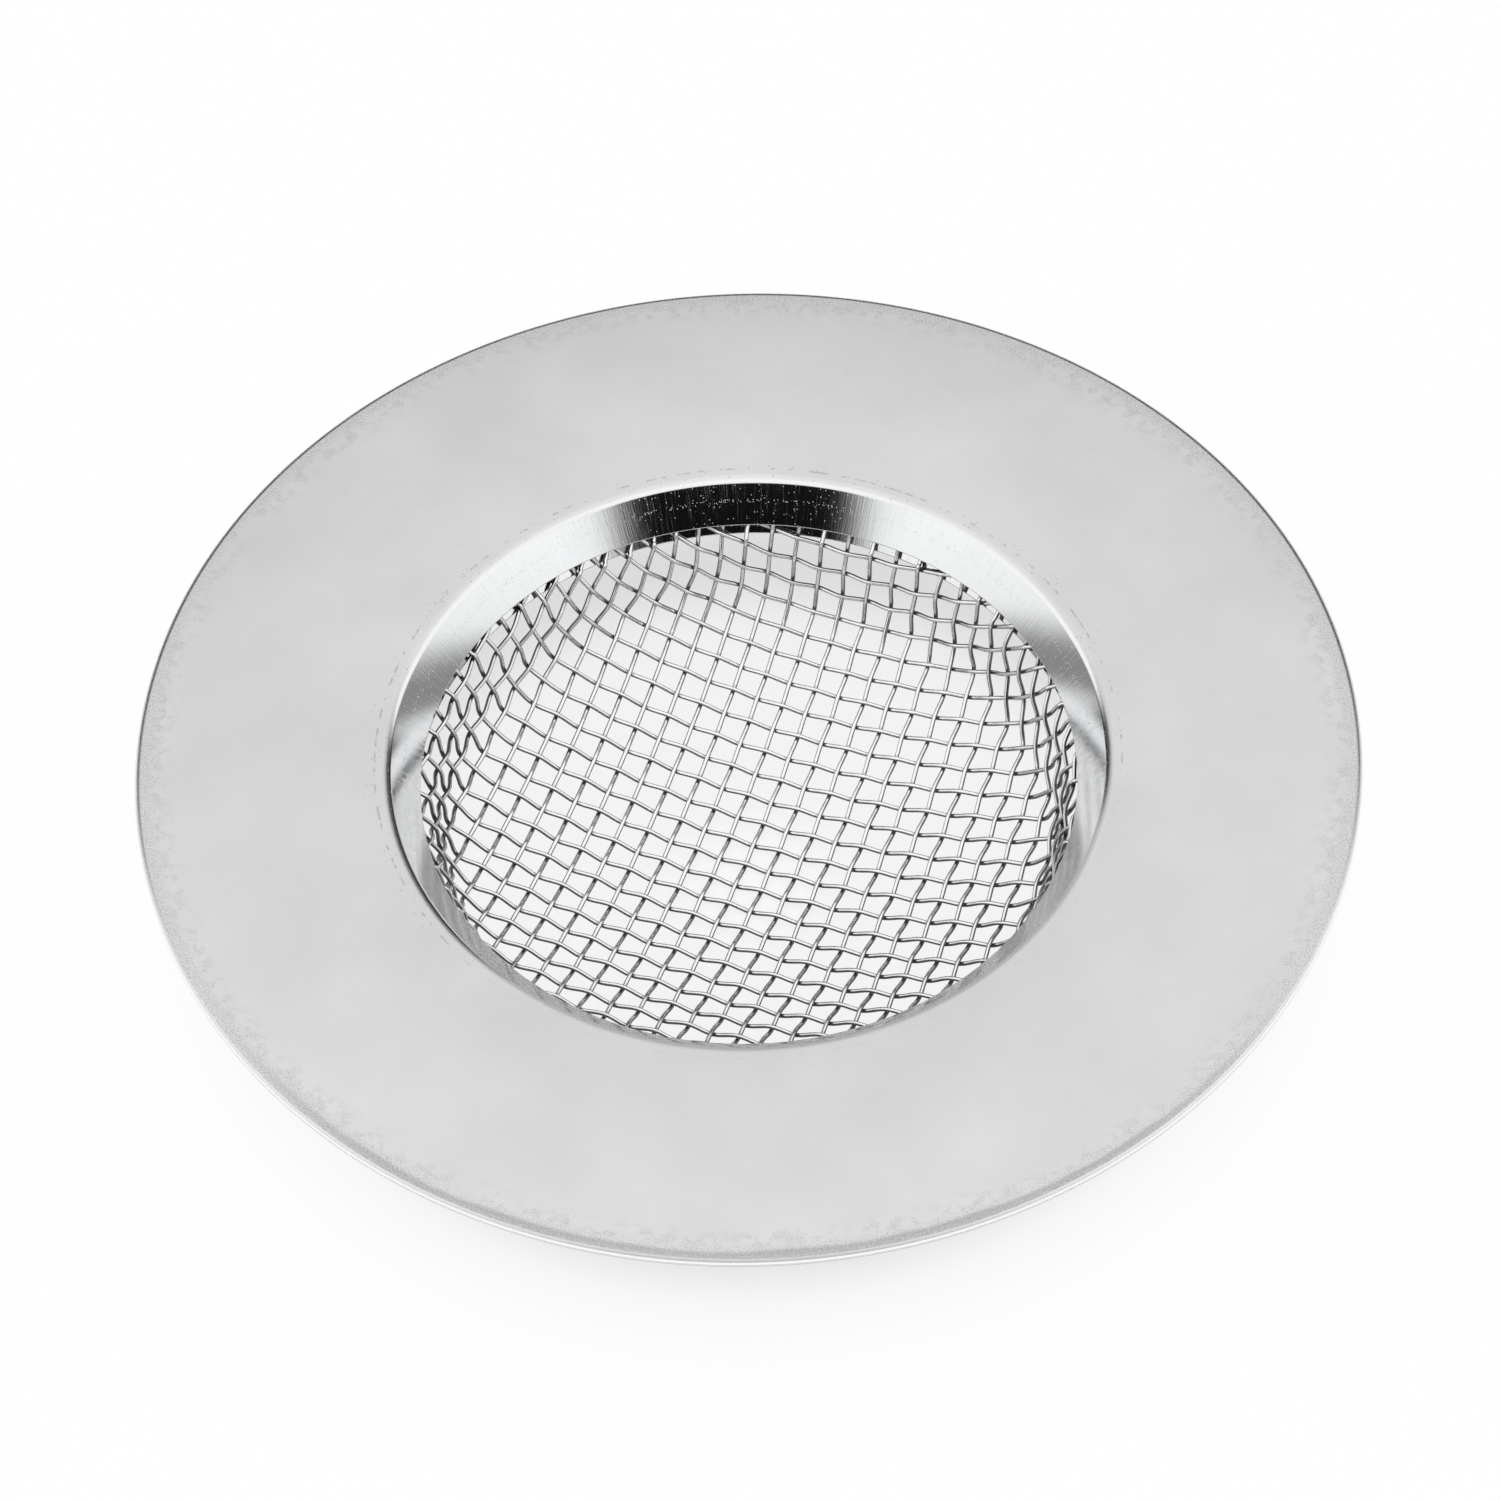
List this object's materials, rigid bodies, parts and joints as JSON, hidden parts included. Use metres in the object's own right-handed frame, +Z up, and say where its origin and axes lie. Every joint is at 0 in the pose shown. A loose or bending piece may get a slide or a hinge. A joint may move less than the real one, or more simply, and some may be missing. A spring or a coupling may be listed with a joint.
{
  "type": "sink strainer",
  "caption": "Round sink strainer: a wide flat steel flange with a polished collar holding a shallow woven wire basket that catches scraps in a drain.",
  "frame": {"origin": "on the axis of the strainer, on the surface that the basket's lowest wires stand on", "axes": "+Z up along the strainer's axis, out of the open mouth; +X and +Y across the flange, with the picture seen along +Y"},
  "size_m": [0.09, 0.09, 0.0151],
  "materials": {
    "plate_steel": "satin flange, polished collar",
    "wire_steel": "bright drawn wire"
  },
  "bodies": {
    "root": {"bottom_plate": "plate_steel", "top_plate": "plate_steel", "warp_wires_01": "wire_steel", "warp_wires_02": "wire_steel", "warp_wires_03": "wire_steel", "warp_wires_04": "wire_steel", "warp_wires_05": "wire_steel", "warp_wires_06": "wire_steel", "warp_wires_07": "wire_steel", "warp_wires_08": "wire_steel", "warp_wires_09": "wire_steel", "warp_wires_10": "wire_steel", "warp_wires_11": "wire_steel", "warp_wires_12": "wire_steel", "warp_wires_13": "wire_steel", "warp_wires_14": "wire_steel", "warp_wires_15": "wire_steel", "warp_wires_16": "wire_steel", "warp_wires_17": "wire_steel", "warp_wires_18": "wire_steel", "weft_wires_01": "wire_steel", "weft_wires_02": "wire_steel", "weft_wires_03": "wire_steel", "weft_wires_04": "wire_steel", "weft_wires_05": "wire_steel", "weft_wires_06": "wire_steel", "weft_wires_07": "wire_steel", "weft_wires_08": "wire_steel", "weft_wires_09": "wire_steel", "weft_wires_10": "wire_steel", "weft_wires_11": "wire_steel", "weft_wires_12": "wire_steel", "weft_wires_13": "wire_steel", "weft_wires_14": "wire_steel", "weft_wires_15": "wire_steel", "weft_wires_16": "wire_steel", "weft_wires_17": "wire_steel", "weft_wires_18": "wire_steel"}
  },
  "joints": []
}
